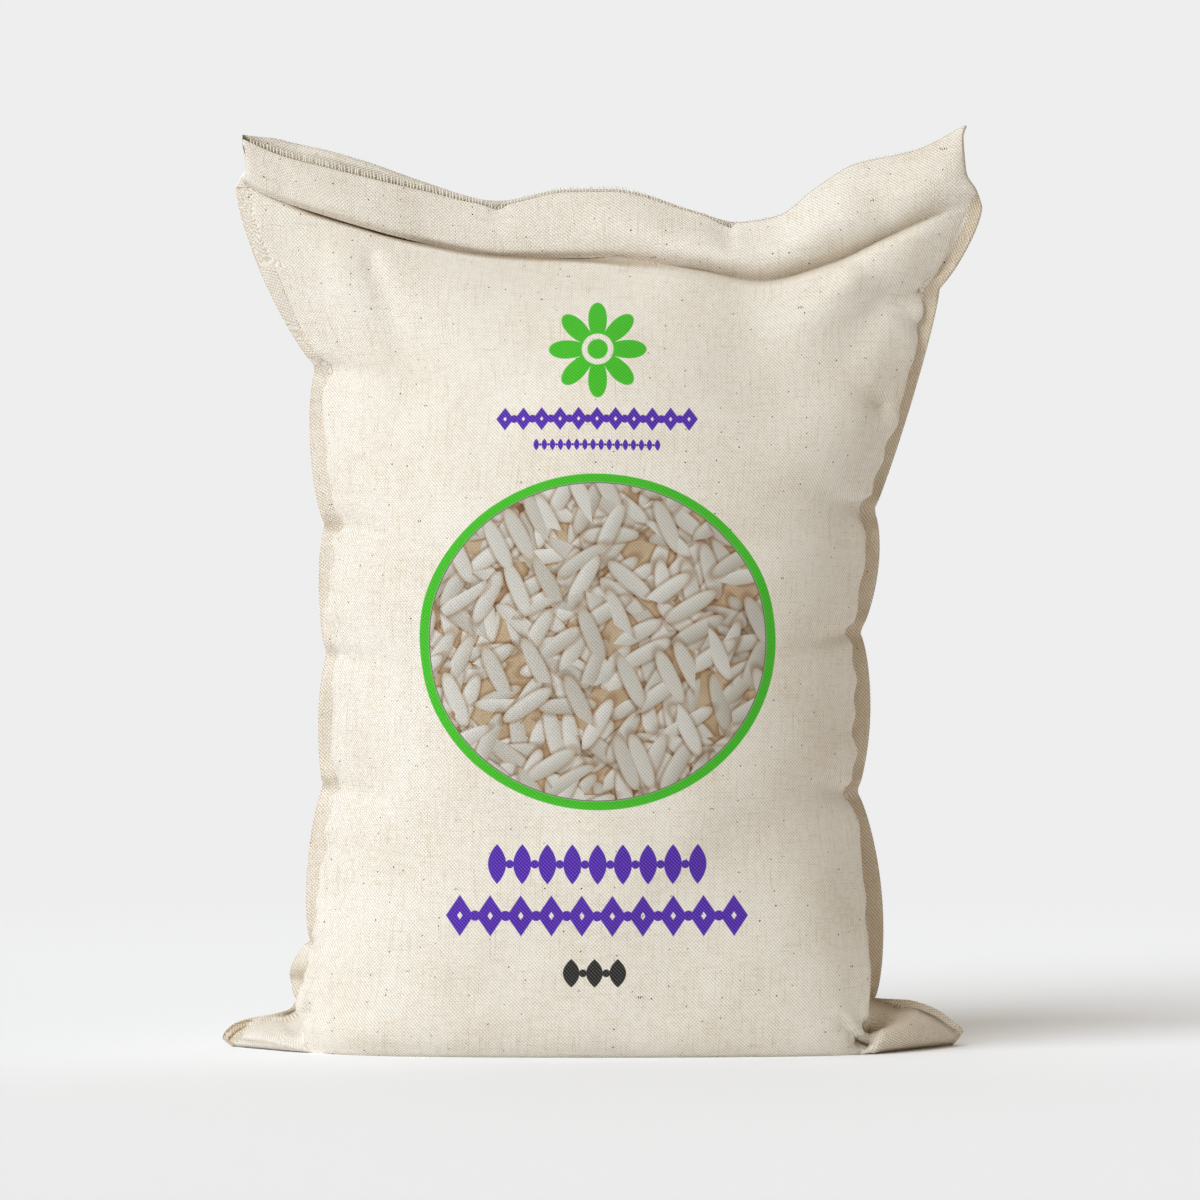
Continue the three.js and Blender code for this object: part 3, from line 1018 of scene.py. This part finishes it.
class Value:
    """A shader value that takes part in Python arithmetic."""

    def __init__(self, shader: "Shader", socket: bpy.types.NodeSocket) -> None:
        """Wraps a socket.

        Args:
            shader: The shader that the socket belongs to.
            socket: An output socket.
        """
        self.shader = shader
        self.socket = socket

    def math(self, operation: str, *others: object, clamp: bool = False) -> "Value":
        """Adds a Math node with this value first.

        Args:
            operation: The node's operation.
            others: The other values or numbers.
            clamp: Whether the result is held between 0 and 1.

        Returns:
            The node's result.
        """
        settings = {"operation": operation, "use_clamp": clamp}
        return self.shader.add("ShaderNodeMath", settings, dict(enumerate((self, *others))))

    def __add__(self, other: object) -> "Value":
        """Sum."""
        return self.math("ADD", other)

    def __mul__(self, other: object) -> "Value":
        """Product."""
        return self.math("MULTIPLY", other)

    def __sub__(self, other: object) -> "Value":
        """Difference."""
        return self.math("SUBTRACT", other)

    def __rsub__(self, other: object) -> "Value":
        """Difference the other way round."""
        return self.math("MULTIPLY_ADD", -1.0, other)

    def __truediv__(self, other: object) -> "Value":
        """Quotient."""
        return self.math("DIVIDE", other)

    def __pow__(self, other: object) -> "Value":
        """Power."""
        return self.math("POWER", other)

    def __abs__(self) -> "Value":
        """Size without sign."""
        return self.math("ABSOLUTE")

    def sin(self) -> "Value":
        """Sine."""
        return self.math("SINE")

    def cos(self) -> "Value":
        """Cosine."""
        return self.math("COSINE")

    def fract(self) -> "Value":
        """Part after the point."""
        return self.math("FRACT")

    def held(self) -> "Value":
        """The value held between 0 and 1."""
        return self.math("ADD", 0.0, clamp=True)

    def high(self, other: object) -> "Value":
        """The larger of two."""
        return self.math("MAXIMUM", other)

    def step(self, start: float, end: float) -> "Value":
        """Steps softly from 0 to 1.

        Args:
            start: Where the step begins.
            end: Where it is done, which may lie below the start.

        Returns:
            The step's height.
        """
        low, high, first, last = (start, end, 0.0, 1.0) if start < end else (end, start, 1.0, 0.0)
        return self.shader.add(
            "ShaderNodeMapRange", {"interpolation_type": "SMOOTHSTEP", "clamp": True},
            {"Value": self, "From Min": low, "From Max": high, "To Min": first, "To Max": last})


class Shader:
    """A material's node tree, built from expressions."""

    def __init__(self, tree: bpy.types.NodeTree) -> None:
        """Starts with an empty tree.

        Args:
            tree: The node tree of a material or of the sky.
        """
        self.tree = tree
        self.tree.nodes.clear()

    @classmethod
    def material(cls, name: str) -> tuple["Shader", bpy.types.Material]:
        """Starts a new material.

        Args:
            name: The material's name.

        Returns:
            Its empty shader, and the material.
        """
        made = bpy.data.materials.new(name)
        made.use_nodes = True
        return cls(made.node_tree), made

    def add(self, kind: str, settings: dict, inputs: dict, output: object = 0) -> Value:
        """Adds any node.

        Args:
            kind: The node's type.
            settings: Its own settings, set first.
            inputs: Values, colours or links by socket name or number.
            output: Name or number of the wanted result.

        Returns:
            The wanted result.
        """
        node = self.tree.nodes.new(kind)
        for name, value in settings.items():
            setattr(node, name, value)
        for name, value in inputs.items():
            if isinstance(value, Value):
                self.tree.links.new(value.socket, node.inputs[name])
            elif isinstance(value, tuple) and len(value) == 3 and node.inputs[name].type == "RGBA":
                node.inputs[name].default_value = (*value, 1.0)
            else:
                node.inputs[name].default_value = value
        return Value(self, node.outputs[output])

    def blend(self, first: object, second: object, share: object, mode: str = "MIX") -> Value:
        """Mixes two colours.

        Args:
            first: The colour at share 0.
            second: The colour at share 1.
            share: How much of the second.
            mode: The blend mode.

        Returns:
            The mixed colour.
        """
        return self.add(
            "ShaderNodeMix", {"data_type": "RGBA", "blend_type": mode, "clamp_factor": True},
            {0: share, 6: first, 7: second}, 2)

    def vector(self, x: object, y: object, z: object = 0.0) -> Value:
        """Joins three values into a vector."""
        return self.add("ShaderNodeCombineXYZ", {}, {0: x, 1: y, 2: z})

    def split(self, vector: Value) -> tuple[Value, Value, Value]:
        """Parts a vector into its three values."""
        node = self.add("ShaderNodeSeparateXYZ", {}, {0: vector}).socket.node
        return tuple(Value(self, node.outputs[index]) for index in range(3))

    def noise(self, vector: Value, scale: float, detail: float = 2.0, rough: float = 0.5, flat: bool = True) -> Value:
        """Adds soft noise between about 0 and 1.

        Args:
            vector: Where to read it.
            scale: Waves to the unit.
            detail: How many finer layers it has.
            rough: How strong the finer layers are.
            flat: True for noise in the plane, False for noise in space.

        Returns:
            The noise.
        """
        return self.add("ShaderNodeTexNoise", {"noise_dimensions": "2D" if flat else "3D"},
                        {"Vector": vector, "Scale": scale, "Detail": detail, "Roughness": rough})

    def cells(self, vector: Value, randomness: float = 1.0) -> tuple[Value, Value, Value]:
        """Scatters cells over the plane.

        Args:
            vector: Where to read them, at one cell to the unit.
            randomness: How far their centres stray from a grid.

        Returns:
            The distance to the nearest centre, that cell's own random colour, and the centre.
        """
        node = self.add("ShaderNodeTexVoronoi", {"voronoi_dimensions": "2D", "feature": "F1"},
                        {"Vector": vector, "Scale": 1.0, "Randomness": randomness}).socket.node
        return tuple(Value(self, node.outputs[name]) for name in ("Distance", "Color", "Position"))

    def relief(self, height: Value, depth: float, strength: float) -> Value:
        """Turns a height between 0 and 1 into a normal; depth is a full step in metres."""
        return self.add("ShaderNodeBump", {}, {"Strength": strength, "Distance": depth, "Height": height})

    def coat(self, colour: object, roughness: float, normal: Value, sheen: float) -> Value:
        """Makes a matt finish.

        Args:
            colour: Base colour.
            roughness: Roughness.
            normal: The normal with its relief.
            sheen: Weight of the cloth's sheen.

        Returns:
            The shader.
        """
        return self.add("ShaderNodeBsdfPrincipled", {}, {
            "Base Color": colour, "Roughness": roughness, "Normal": normal, "Specular IOR Level": 0.18,
            "Sheen Weight": sheen, "Sheen Roughness": 0.6})

    def close(self, shader: Value, kind: str = "ShaderNodeOutputMaterial") -> None:
        """Links a finished shader to the output."""
        node = self.tree.nodes.new(kind)
        self.tree.links.new(shader.socket, node.inputs["Surface"])


@dataclass(frozen=True)
class Placed:
    """Where a printed field lies on the front, in millimetres from the sack's middle line and the floor."""

    x: float
    z: float
    half_width: float
    half_height: float


@dataclass(frozen=True)
class Print:
    """The generic design printed on the front of the sack."""

    green: Colour = (0.036, 0.44, 0.002)
    purple: Colour = (0.070, 0.008, 0.36)
    black: Colour = (0.012, 0.011, 0.010)
    ring_line: Colour = (0.025, 0.045, 0.015)
    rosette: Placed = Placed(-1.6, 277.5, 19.6, 19.6)
    line_one: Placed = Placed(-1.8, 250.0, 39.8, 4.6)
    line_two: Placed = Placed(-1.8, 239.8, 25.4, 2.3)
    picture: Placed = Placed(-1.6, 162.8, 69.8, 65.6)
    row_one: Placed = Placed(-1.6, 76.2, 44.0, 7.8)
    row_two: Placed = Placed(-1.8, 56.0, 59.4, 8.1)
    row_three: Placed = Placed(-2.8, 33.6, 13.6, 5.6)


@dataclass(frozen=True)
class GrainPicture:
    """The picture in the oval: a heap of long grains that lie over each other in all directions."""

    ground: Colour = (0.38, 0.26, 0.145)
    light_ground: Colour = (0.54, 0.42, 0.285)
    grain: Colour = (0.38, 0.34, 0.275)
    light_grain: Colour = (0.655, 0.635, 0.59)
    rim: Colour = (0.40, 0.28, 0.15)
    shade: Colour = (0.50, 0.33, 0.19)
    cell_length: float = 25.0
    cell_width: float = 7.8
    half_length: float = 0.45
    half_width: float = 0.41
    left_out: float = 0.35
    angles: tuple[float, ...] = (0.35, 2.2, 1.25, 2.85, 0.80, 1.75, 0.1, 2.5, 1.1, 0.55, 2.0)

    def colour(self, s: Shader, x: Value, z: Value, middle: Placed) -> Value:
        """Lays the grains over each other, one layer for each direction.

        Args:
            s: The shader.
            x: Millimetres across the front.
            z: Height in millimetres.
            middle: Where the picture lies.

        Returns:
            The picture's colour.
        """
        colour = s.blend(self.ground, self.light_ground, s.noise(s.vector(x, z), 0.09))
        x, z = x - middle.x, z - middle.z
        for index, angle in enumerate(self.angles):
            co, si = math.cos(angle), math.sin(angle)
            along = (x * co + z * si) / self.cell_length + (50.0 + 17.3 * index)
            across = (z * co - x * si) / self.cell_width + (50.0 + 9.7 * index)
            _, tint, centre = s.cells(s.vector(along, across), 0.8)
            pick, light, tilt = s.split(tint)
            middle_along, middle_across, _ = s.split(centre)
            a = (along - middle_along) / self.half_length
            c = (across - middle_across) / self.half_width + a * (tilt - 0.5) * 0.5
            missing = pick.step(self.left_out - 0.01, self.left_out + 0.01)
            reach = (a * a) ** 1.3 + c * c + missing * 9.0
            toward = 0.6 * math.sin(angle) + 0.8 * math.cos(angle)
            lit = (c * (0.42 * toward) + light * 0.55 + 0.32).held()
            grain = s.blend(s.blend(self.grain, self.light_grain, lit), self.rim, reach.step(0.5, 1.02) * 0.55)
            shade = s.blend(colour, self.shade, reach.step(2.3, 0.9) * 0.6, "MULTIPLY")
            colour = s.blend(shade, grain, reach.step(1.05, 0.93))
        return colour


@dataclass(frozen=True)
class UnbleachedTwill:
    """Printed, unbleached cotton and linen cloth with its weave, slubs, flecks and print, and brown painted shade
    laid from the sack's third map.
    """

    cloth: Colour = (0.83, 0.79, 0.718)
    # the tan serves the slubs, the weave and the flanges' own tone, and also the painted shade of the third map
    tan: Colour = (0.53, 0.40, 0.245)
    fleck: Colour = (0.022, 0.018, 0.014)
    # painted shade: the dark brown laid between the layers at the top, under the band's lip and in the deepest
    # creases
    painted_shade: Colour = (0.17, 0.115, 0.06)
    thread: float = 1.45
    sheen: float = 0.08
    roughness: float = 0.93
    relief_depth: float = 0.00040
    relief_strength: float = 0.75
    husk_cell: float = 7.0
    thread_cell: tuple[float, float] = (30.0, 17.0)
    weave_shade: Colour = (0.55, 0.51, 0.45)
    art: Print = Print()
    grains: GrainPicture = GrainPicture()

    def weave(self, u: Value, v: Value) -> Value:
        """Draws the twill: crossing threads with a diagonal rib.

        Args:
            u: Millimetres across the cloth.
            v: Millimetres up the cloth.

        Returns:
            Relief between 0 and 1.
        """
        turn = math.tau / self.thread
        return ((u + v) * turn).cos() * 0.30 + ((u - v) * turn).cos() * 0.18 + 0.5

    def garland(self, x: Value, z: Value, at: Placed, count: int, width: float, disc: float, sharp: float) -> Value:
        """Draws a row of upright leaves with a disc between each two.

        Args:
            x: Millimetres across the front.
            z: Height in millimetres.
            at: Where the row lies.
            count: How many leaves it has.
            width: Half width of a leaf as a share of its cell.
            disc: Radius of a disc as a share of its cell.
            sharp: 1 for straight-sided lozenges, 2 for round-sided leaves.

        Returns:
            1 on the ink and 0 off it.
        """
        cell = 2 * at.half_width / count
        p = (x - (at.x - at.half_width)) / cell
        q = (p.fract() - 0.5) * cell
        gap = ((p + 0.5).fract() - 0.5) * cell
        v = z - at.z
        leaf = abs(q) / (width * cell) + (abs(v) / at.half_height) ** sharp
        leaf = leaf.step(1.04, 0.96) * (leaf.step(0.16, 0.22) if sharp == 1.0 else 1.0)
        button = ((gap * gap + v * v) ** 0.5 / (disc * cell)).step(1.06, 0.94)
        button = button * (abs(x - at.x) / (at.half_width - 0.3 * cell)).step(1.003, 0.997)
        inside = (abs(x - at.x) / at.half_width).step(1.003, 0.997)
        return leaf.high(button) * inside

    def inked(self, s: Shader, cloth: Value, x: Value, z: Value, weave: Value, radius: Value) -> Value:
        """Lays the print over the cloth, apart from the picture.

        Args:
            s: The shader.
            cloth: The bare cloth's colour.
            x: Millimetres across the front.
            z: Height in millimetres.
            weave: The cloth's relief, which shows through the ink.
            radius: Share from the middle of the picture to the outside of its ring.

        Returns:
            The printed colour.
        """
        art = self.art
        cover = weave.step(0.85, 0.35) * 0.08 + 0.92
        ring = radius.step(1.002, 0.996) * radius.step(0.945, 0.951)
        line = radius.step(0.938, 0.942) * radius.step(0.950, 0.946)
        colour = s.blend(cloth, art.ring_line, line * 0.85)
        # the rosette of leaves
        rx, rz = x - art.rosette.x, z - art.rosette.z
        reach = (rx * rx + rz * rz) ** 0.5 / art.rosette.half_width
        angle = rz.math("ARCTAN2", rx)
        leaf = abs((angle * 4.0).cos()) ** 0.8
        petals = (reach - leaf * 0.62 - 0.36).step(0.015, -0.015) * reach.step(0.30, 0.33)
        heart = reach.step(0.22, 0.19)
        green = ring.high(petals).high(heart)
        colour = s.blend(colour, art.green, green * cover)
        # the rows of lozenges and leaves
        purple = self.garland(x, z, art.line_one, 11, 0.48, 0.22, 1.0)
        purple = purple.high(self.garland(x, z, art.line_two, 16, 0.34, 0.16, 2.0))
        purple = purple.high(self.garland(x, z, art.row_one, 9, 0.36, 0.17, 2.0))
        purple = purple.high(self.garland(x, z, art.row_two, 10, 0.46, 0.17, 1.0))
        colour = s.blend(colour, art.purple, purple * cover)
        return s.blend(colour, art.black, self.garland(x, z, art.row_three, 3, 0.36, 0.17, 2.0) * cover)

    def flecks(self, s: Shader, u: Value, v: Value) -> Value:
        """Scatters the dark flecks of husk and the broken dark threads.

        Args:
            s: The shader.
            u: Millimetres across the cloth.
            v: Millimetres up the cloth.

        Returns:
            How dark the cloth is, between 0 and 1.
        """
        near, tint, _ = s.cells(s.vector(u / self.husk_cell, v / self.husk_cell))
        pick, soft, _ = s.split(tint)
        husk = (near - (pick - 0.4).high(0.0) * 0.082).step(0.006, -0.006) * (soft * 0.3 + 0.7)
        near, tint, _ = s.cells(s.vector(u / self.thread_cell[0], v / self.thread_cell[1]))
        pick, _, _ = s.split(tint)
        run = (near - (pick - 0.55).high(0.0) * 0.11).step(0.003, -0.003)
        up = (u * (math.tau / 0.9)).sin().step(0.0, 0.5)
        across = (v * (math.tau / 3.2)).sin().step(0.4, 0.7)
        return husk.high(run * up * across)

    def material(self) -> bpy.types.Material:
        """Makes the printed cloth.

        Returns:
            The material.
        """
        s, made = Shader.material("unbleached_twill")
        u, v, _ = s.split(s.add("ShaderNodeUVMap", {"uv_map": "cloth"}, {}))
        x, z, _ = s.split(s.add("ShaderNodeUVMap", {"uv_map": "print"}, {}))
        hem_tone_and_shade, painted_shade, _ = s.split(s.add("ShaderNodeUVMap", {"uv_map": "hem_tone_and_shade"}, {}))
        u, v, x, z = u * 1000.0, v * 1000.0, x * 1000.0, z * 1000.0
        weave = self.weave(u, v)
        slub_across = s.noise(s.vector(u * 0.07, v * 1.9), 1.0, 2.0, 0.7)
        slub_up = s.noise(s.vector(u * 2.1 + 40.0, v * 0.05), 1.0, 2.0, 0.7)
        cloud = s.noise(s.vector(u, v), 0.028, 3.0, 0.6)
        grime = s.noise(s.vector(u + 90.0, v), 0.4, 3.0, 0.75)
        # the third map: first the flanges' tan tone with painted shade on the right flange, the right ear and the
        # left ear's tip, then painted shade alone
        hem_tone_and_shade = hem_tone_and_shade.step(0.0, 0.6)
        tan = (slub_across - 0.56).high(0.0) * 1.3 + (slub_up - 0.56).high(0.0) * 1.8
        tan = tan + (cloud - 0.45) * 0.4 + (grime - 0.5) * 0.5 + (0.6 - weave).high(0.0) * (hem_tone_and_shade * 1.3 + 1.25)
        # painted shade from the third map darkens the cloth toward tan here and toward dark brown below
        tan = tan + hem_tone_and_shade * 0.3 + painted_shade * 0.8
        colour = s.blend(self.cloth, self.tan, tan.held())
        colour = s.blend(colour, self.painted_shade, painted_shade * (painted_shade * 0.5 + 0.35))
        colour = s.blend(colour, self.fleck, self.flecks(s, u, v))
        oval = self.art.picture
        radius = (((x - oval.x) / oval.half_width) ** 2.0 + ((z - oval.z) / oval.half_height) ** 2.0) ** 0.5
        height = weave * 0.6 + slub_across * 0.4 + slub_up * 0.4
        normal = s.relief(height, self.relief_depth, self.relief_strength)
        bare = s.coat(self.inked(s, colour, x, z, weave, radius), self.roughness, normal, self.sheen)
        grains = self.grains.colour(s, x, z, oval)
        woven = s.blend(grains, self.weave_shade, (0.5 - weave).high(0.0) * 1.4, "MULTIPLY")
        pictured = s.coat(woven, self.roughness, normal, self.sheen)
        s.close(s.add("ShaderNodeMixShader", {}, {0: radius.step(0.943, 0.939), 1: bare, 2: pictured}))
        return made


@dataclass(frozen=True)
class FrayedThread:
    """Light cotton thread with a little tan between its fibres."""

    light: Colour = (0.80, 0.745, 0.64)
    tan: Colour = (0.52, 0.40, 0.26)

    def material(self) -> bpy.types.Material:
        """Makes the thread.

        Returns:
            The material.
        """
        s, made = Shader.material("frayed_thread")
        x, y, z = s.split(s.add("ShaderNodeTexCoord", {}, {}, "Object"))
        noise = s.noise(s.vector(x * 900.0, y * 900.0, z * 160.0), 1.0, 2.0, 0.6, flat=False)
        colour = s.blend(self.light, self.tan, (noise - 0.45).high(0.0) * 2.0)
        s.close(s.coat(colour, 0.9, s.relief(noise, 0.0002, 0.4), 0.1))
        return made


@dataclass(frozen=True)
class PalePaper:
    """The plain pale sweep that the sack stands on."""

    tone: Colour = (0.955, 0.96, 0.975)
    glow: Colour = (0.853, 0.853, 0.856)
    near: float = 0.45
    far: float = 1.25

    def material(self) -> bpy.types.Material:
        """Makes the sweep's finish: paper around the sack, and an even glow far off.

        Returns:
            The material.
        """
        s, made = Shader.material("pale_paper")
        place = s.add("ShaderNodeTexCoord", {}, {}, "Object")
        x, y, _ = s.split(place)
        noise = s.noise(place, 40.0, flat=False)
        colour = s.blend(self.tone, tuple(0.995 * part for part in self.tone), noise)
        paper = s.coat(colour, 0.95, s.relief(noise, 0.0001, 0.02), 0.0)
        far = ((x * x + y * y) ** 0.5).step(self.near, self.far)
        glow = s.add("ShaderNodeEmission", {}, {"Color": self.glow, "Strength": 1.0})
        s.close(s.add("ShaderNodeMixShader", {}, {0: far, 1: paper, 2: glow}))
        return made


@dataclass
class Studio:
    """The sweep, the lights and the camera."""

    distance: float = 2.4
    eye: float = 0.185
    frame_width: float = 0.48
    picture_size: float = 1200.0
    axis_row: float = 447.0
    axis_column: float = -2.0
    sensor: float = 36.0
    key_strength: float = 2.5
    key_colour: Colour = (0.93, 1.0, 1.07)
    key_from: tuple[float, float, float] = (-0.62, -0.62, 0.62)
    key_spread: float = 42.0
    sky: Colour = (0.42, 0.39, 0.36)
    shade_sky: Colour = (0.255, 0.19, 0.095)
    horizon: Colour = (0.853, 0.853, 0.856)
    bend: float = 0.9
    floor_back: float = 2.3
    floor_front: float = -3.2
    wall: float = 5.8
    half_width: float = 5.8

    def build(self) -> None:
        """Sets up the sweep, the light and the camera."""
        self.sweep()
        self.lights()
        self.camera()

    def sweep(self) -> None:
        """Draws the profile of a floor that curves up into a wall and pulls it out sideways."""
        bm = bmesh.new()
        profile = [(self.floor_front, 0.0), (self.floor_back, 0.0)]
        for angle in np.linspace(0.1, math.pi / 2, 16):
            profile.append((self.floor_back + self.bend * math.sin(angle), self.bend * (1 - math.cos(angle))))
        profile.append((self.floor_back + self.bend, self.wall))
        row = [bm.verts.new((-self.half_width, y, z)) for y, z in profile]
        edges = [bm.edges.new(pair) for pair in zip(row, row[1:])]
        made = bmesh.ops.extrude_edge_only(bm, edges=edges)["geom"]
        moved = [item for item in made if isinstance(item, bmesh.types.BMVert)]
        bmesh.ops.translate(bm, verts=moved, vec=(2 * self.half_width, 0.0, 0.0))
        bmesh.ops.recalc_face_normals(bm, faces=bm.faces[:])
        if sum(face.normal.z for face in bm.faces) < 0:
            bmesh.ops.reverse_faces(bm, faces=bm.faces[:])
        mesh = bpy.data.meshes.new("sweep")
        bm.to_mesh(mesh)
        bm.free()
        mesh.materials.append(PalePaper().material())
        mesh.polygons.foreach_set("use_smooth", [True] * len(mesh.polygons))
        floor = bpy.data.objects.new("sweep", mesh)
        bpy.context.scene.collection.objects.link(floor)

    def lights(self) -> None:
        """Hangs a broad key light at the front left and an even sky for fill."""
        lamp = bpy.data.lights.new("key", "SUN")
        lamp.energy, lamp.angle, lamp.color = self.key_strength, math.radians(self.key_spread), self.key_colour
        key = bpy.data.objects.new("key", lamp)
        key.rotation_euler = Vector(self.key_from).to_track_quat("Z", "Y").to_euler()
        bpy.context.scene.collection.objects.link(key)
        world = bpy.data.worlds.new("sky")
        world.use_nodes = True
        s = Shader(world.node_tree)
        right, _, high = s.split(s.add("ShaderNodeTexCoord", {}, {}, "Generated"))
        dome = s.blend(self.sky, self.shade_sky, right.step(-0.3, 0.5))
        tone = s.blend(self.horizon, dome, high.step(0.09, 0.15))
        s.close(s.add("ShaderNodeBackground", {}, {"Color": tone}), "ShaderNodeOutputWorld")
        bpy.context.scene.world = world
        bpy.context.scene.view_settings.view_transform = "Standard"

    def camera(self) -> None:
        """Places the camera level with the lower middle of the sack."""
        data = bpy.data.cameras.new("camera")
        data.sensor_width = self.sensor
        data.lens = self.sensor * self.distance / self.frame_width
        data.shift_y = self.axis_row / self.picture_size - self.eye / self.frame_width
        data.shift_x = self.axis_column / self.picture_size
        camera = bpy.data.objects.new("camera", data)
        camera.location = (0.0, -self.distance, self.eye)
        camera.rotation_euler = (math.pi / 2, 0.0, 0.0)
        bpy.context.scene.collection.objects.link(camera)
        bpy.context.scene.camera = camera


def main() -> None:
    """Builds the sack, its fringe and the studio."""
    logging.basicConfig(level=logging.INFO, format="%(name)s: %(message)s")
    shape = SackShape()
    Sack(shape).build(UnbleachedTwill().material())
    Fringe(shape).build(FrayedThread().material())
    Studio().build()


if __name__ == "__main__":
    main()
